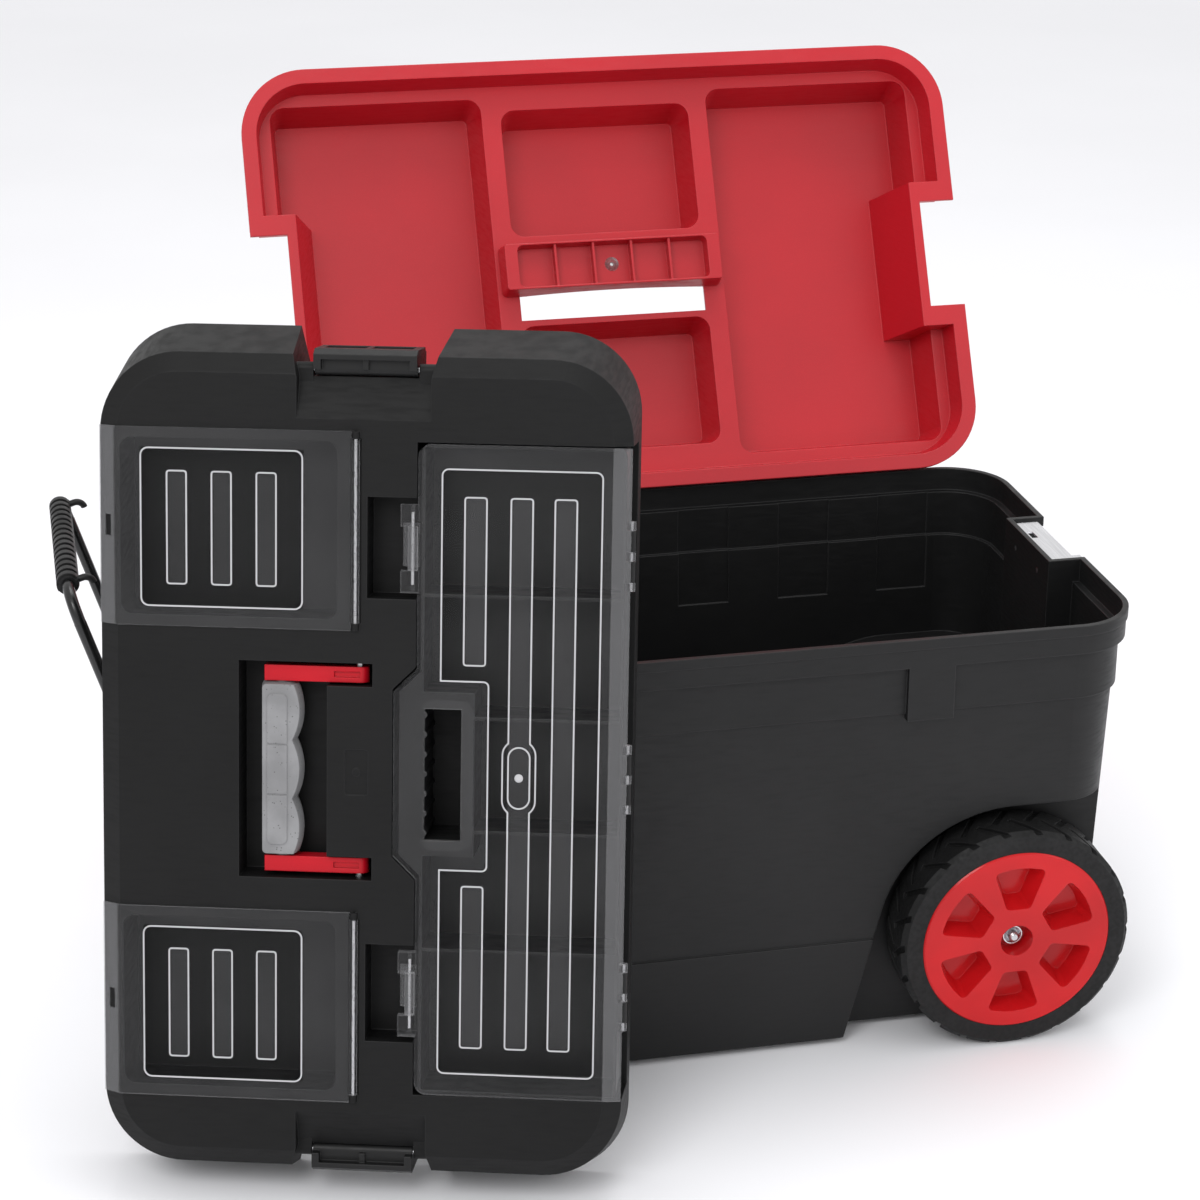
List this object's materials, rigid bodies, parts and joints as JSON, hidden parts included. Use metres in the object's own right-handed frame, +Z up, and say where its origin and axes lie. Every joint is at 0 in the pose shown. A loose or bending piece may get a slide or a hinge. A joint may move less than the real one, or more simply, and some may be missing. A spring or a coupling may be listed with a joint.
{
  "type": "rolling toolbox",
  "caption": "Opened rolling toolbox: wheeled tub with pull handle, compartment tray propped on the rear rim, and a leaning lid with carry handle, clear-covered bins and lift-out parts case.",
  "frame": {"origin": "on the floor below the middle of the tub, on the sole that the tub stands on", "axes": "+X towards the wheel end of the tub, +Y towards the rear rim where the tray is propped, +Z up"},
  "size_m": [0.7979, 0.7359, 0.6784],
  "materials": {
    "black_plastic": "fine-grained matte",
    "lid_plastic": "fine-grained matte",
    "liner_plastic": "matte",
    "guide_plastic": "matte",
    "latch_plastic": "satin",
    "case_plastic": "satin",
    "tray_red": "satin",
    "arm_red": "satin",
    "hub_red": "gloss",
    "tyre_black": "matte rubber",
    "grip_grey": "speckled matte",
    "sleeve_rubber": "matte",
    "handle_paint": "gloss black",
    "steel": "satin",
    "keeper_steel": "bright",
    "clear_plastic": "clear smoky"
  },
  "bodies": {
    "tub": {"tub": "black_plastic", "axle": "steel", "axle_washers": "steel", "axle_caps": "steel", "keepers": "keeper_steel", "keeper_screws": "steel", "handle_guides": "guide_plastic"},
    "front_wheel": {"hub_front": "hub_red", "tyre_front": "tyre_black"},
    "rear_wheel": {"hub_rear": "hub_red", "tyre_rear": "tyre_black"},
    "pull_handle": {"handle_tube": "handle_paint", "handle_sleeve": "sleeve_rubber", "handle_stops": "guide_plastic"},
    "tray": {"tray": "tray_red", "tray_bar": "tray_red", "bar_rivet": "clear_plastic"},
    "lid": {"lid": "lid_plastic", "lid_liner": "liner_plastic", "carry_pins": "steel", "cover_pins": "steel", "latch_pins": "steel"},
    "carry_handle": {"carry_arms": "arm_red", "carry_grip": "grip_grey"},
    "upper_cover": {"upper_cover": "clear_plastic"},
    "lower_cover": {"lower_cover": "clear_plastic"},
    "upper_latch": {"upper_latch": "latch_plastic"},
    "lower_latch": {"lower_latch": "latch_plastic"},
    "organizer": {"organizer": "case_plastic", "organizer_pins": "steel"},
    "organizer_cover": {"organizer_cover": "clear_plastic", "case_latch_pins": "steel"},
    "case_latch_upper": {"case_latch_upper": "clear_plastic"},
    "case_latch_lower": {"case_latch_lower": "clear_plastic"}
  },
  "joints": [
    {"name": "front_wheel_spin", "type": "hinge", "parent": "tub", "child": "front_wheel", "pos_m": [0.206, 0, 0.092], "axis": [0, 1, 0], "continuous": true},
    {"name": "rear_wheel_spin", "type": "hinge", "parent": "tub", "child": "rear_wheel", "pos_m": [0.206, 0, 0.092], "axis": [0, 1, 0], "continuous": true},
    {"name": "pull_handle_slide", "type": "slide", "parent": "tub", "child": "pull_handle", "axis": [1, 0, 0], "range_m": [0, 0.105]},
    {"name": "tray_lift", "type": "slide", "parent": "tub", "child": "tray", "axis": [0, 0, 1], "range_m": [0, 0.25]},
    {"name": "lid_lift", "type": "slide", "parent": "tub", "child": "lid", "axis": [0, 0, 1], "range_m": [0, 0.3]},
    {"name": "carry_handle_swing", "type": "hinge", "parent": "lid", "child": "carry_handle", "pos_m": [-0.30137, -0.23429, 0.30729], "axis": [0.0647, 0.2225, 0.9728], "range_deg": [0, 95]},
    {"name": "upper_cover_hinge", "type": "hinge", "parent": "lid", "child": "upper_cover", "pos_m": [-0.29596, -0.20849, 0.47373], "axis": [0.0647, 0.2225, 0.9728], "range_deg": [0, 105]},
    {"name": "lower_cover_hinge", "type": "hinge", "parent": "lid", "child": "lower_cover", "pos_m": [-0.31768, -0.28326, 0.14688], "axis": [0.0647, 0.2225, 0.9728], "range_deg": [0, 105]},
    {"name": "upper_latch_hinge", "type": "hinge", "parent": "lid", "child": "upper_latch", "pos_m": [-0.27946, -0.16963, 0.57631], "axis": [0.9603, -0.279, 0], "range_deg": [0, 30]},
    {"name": "lower_latch_hinge", "type": "hinge", "parent": "lid", "child": "lower_latch", "pos_m": [-0.31535, -0.29314, 0.03642], "axis": [-0.9603, 0.279, 0], "range_deg": [0, 30]},
    {"name": "organizer_lift", "type": "slide", "parent": "lid", "child": "organizer", "axis": [-0.2714, -0.9342, 0.2317], "range_m": [0, 0.07]},
    {"name": "organizer_cover_hinge", "type": "hinge", "parent": "organizer", "child": "organizer_cover", "pos_m": [-0.12405, -0.29188, 0.30868], "axis": [0.0647, 0.2225, 0.9728], "range_deg": [0, 110]},
    {"name": "case_latch_upper_hinge", "type": "hinge", "parent": "organizer_cover", "child": "case_latch_upper", "pos_m": [-0.25827, -0.21855, 0.46222], "axis": [0.0647, 0.2225, 0.9728], "range_deg": [0, 80]},
    {"name": "case_latch_lower_hinge", "type": "hinge", "parent": "organizer_cover", "child": "case_latch_lower", "pos_m": [-0.27857, -0.28842, 0.15676], "axis": [0.0647, 0.2225, 0.9728], "range_deg": [0, 80]}
  ]
}
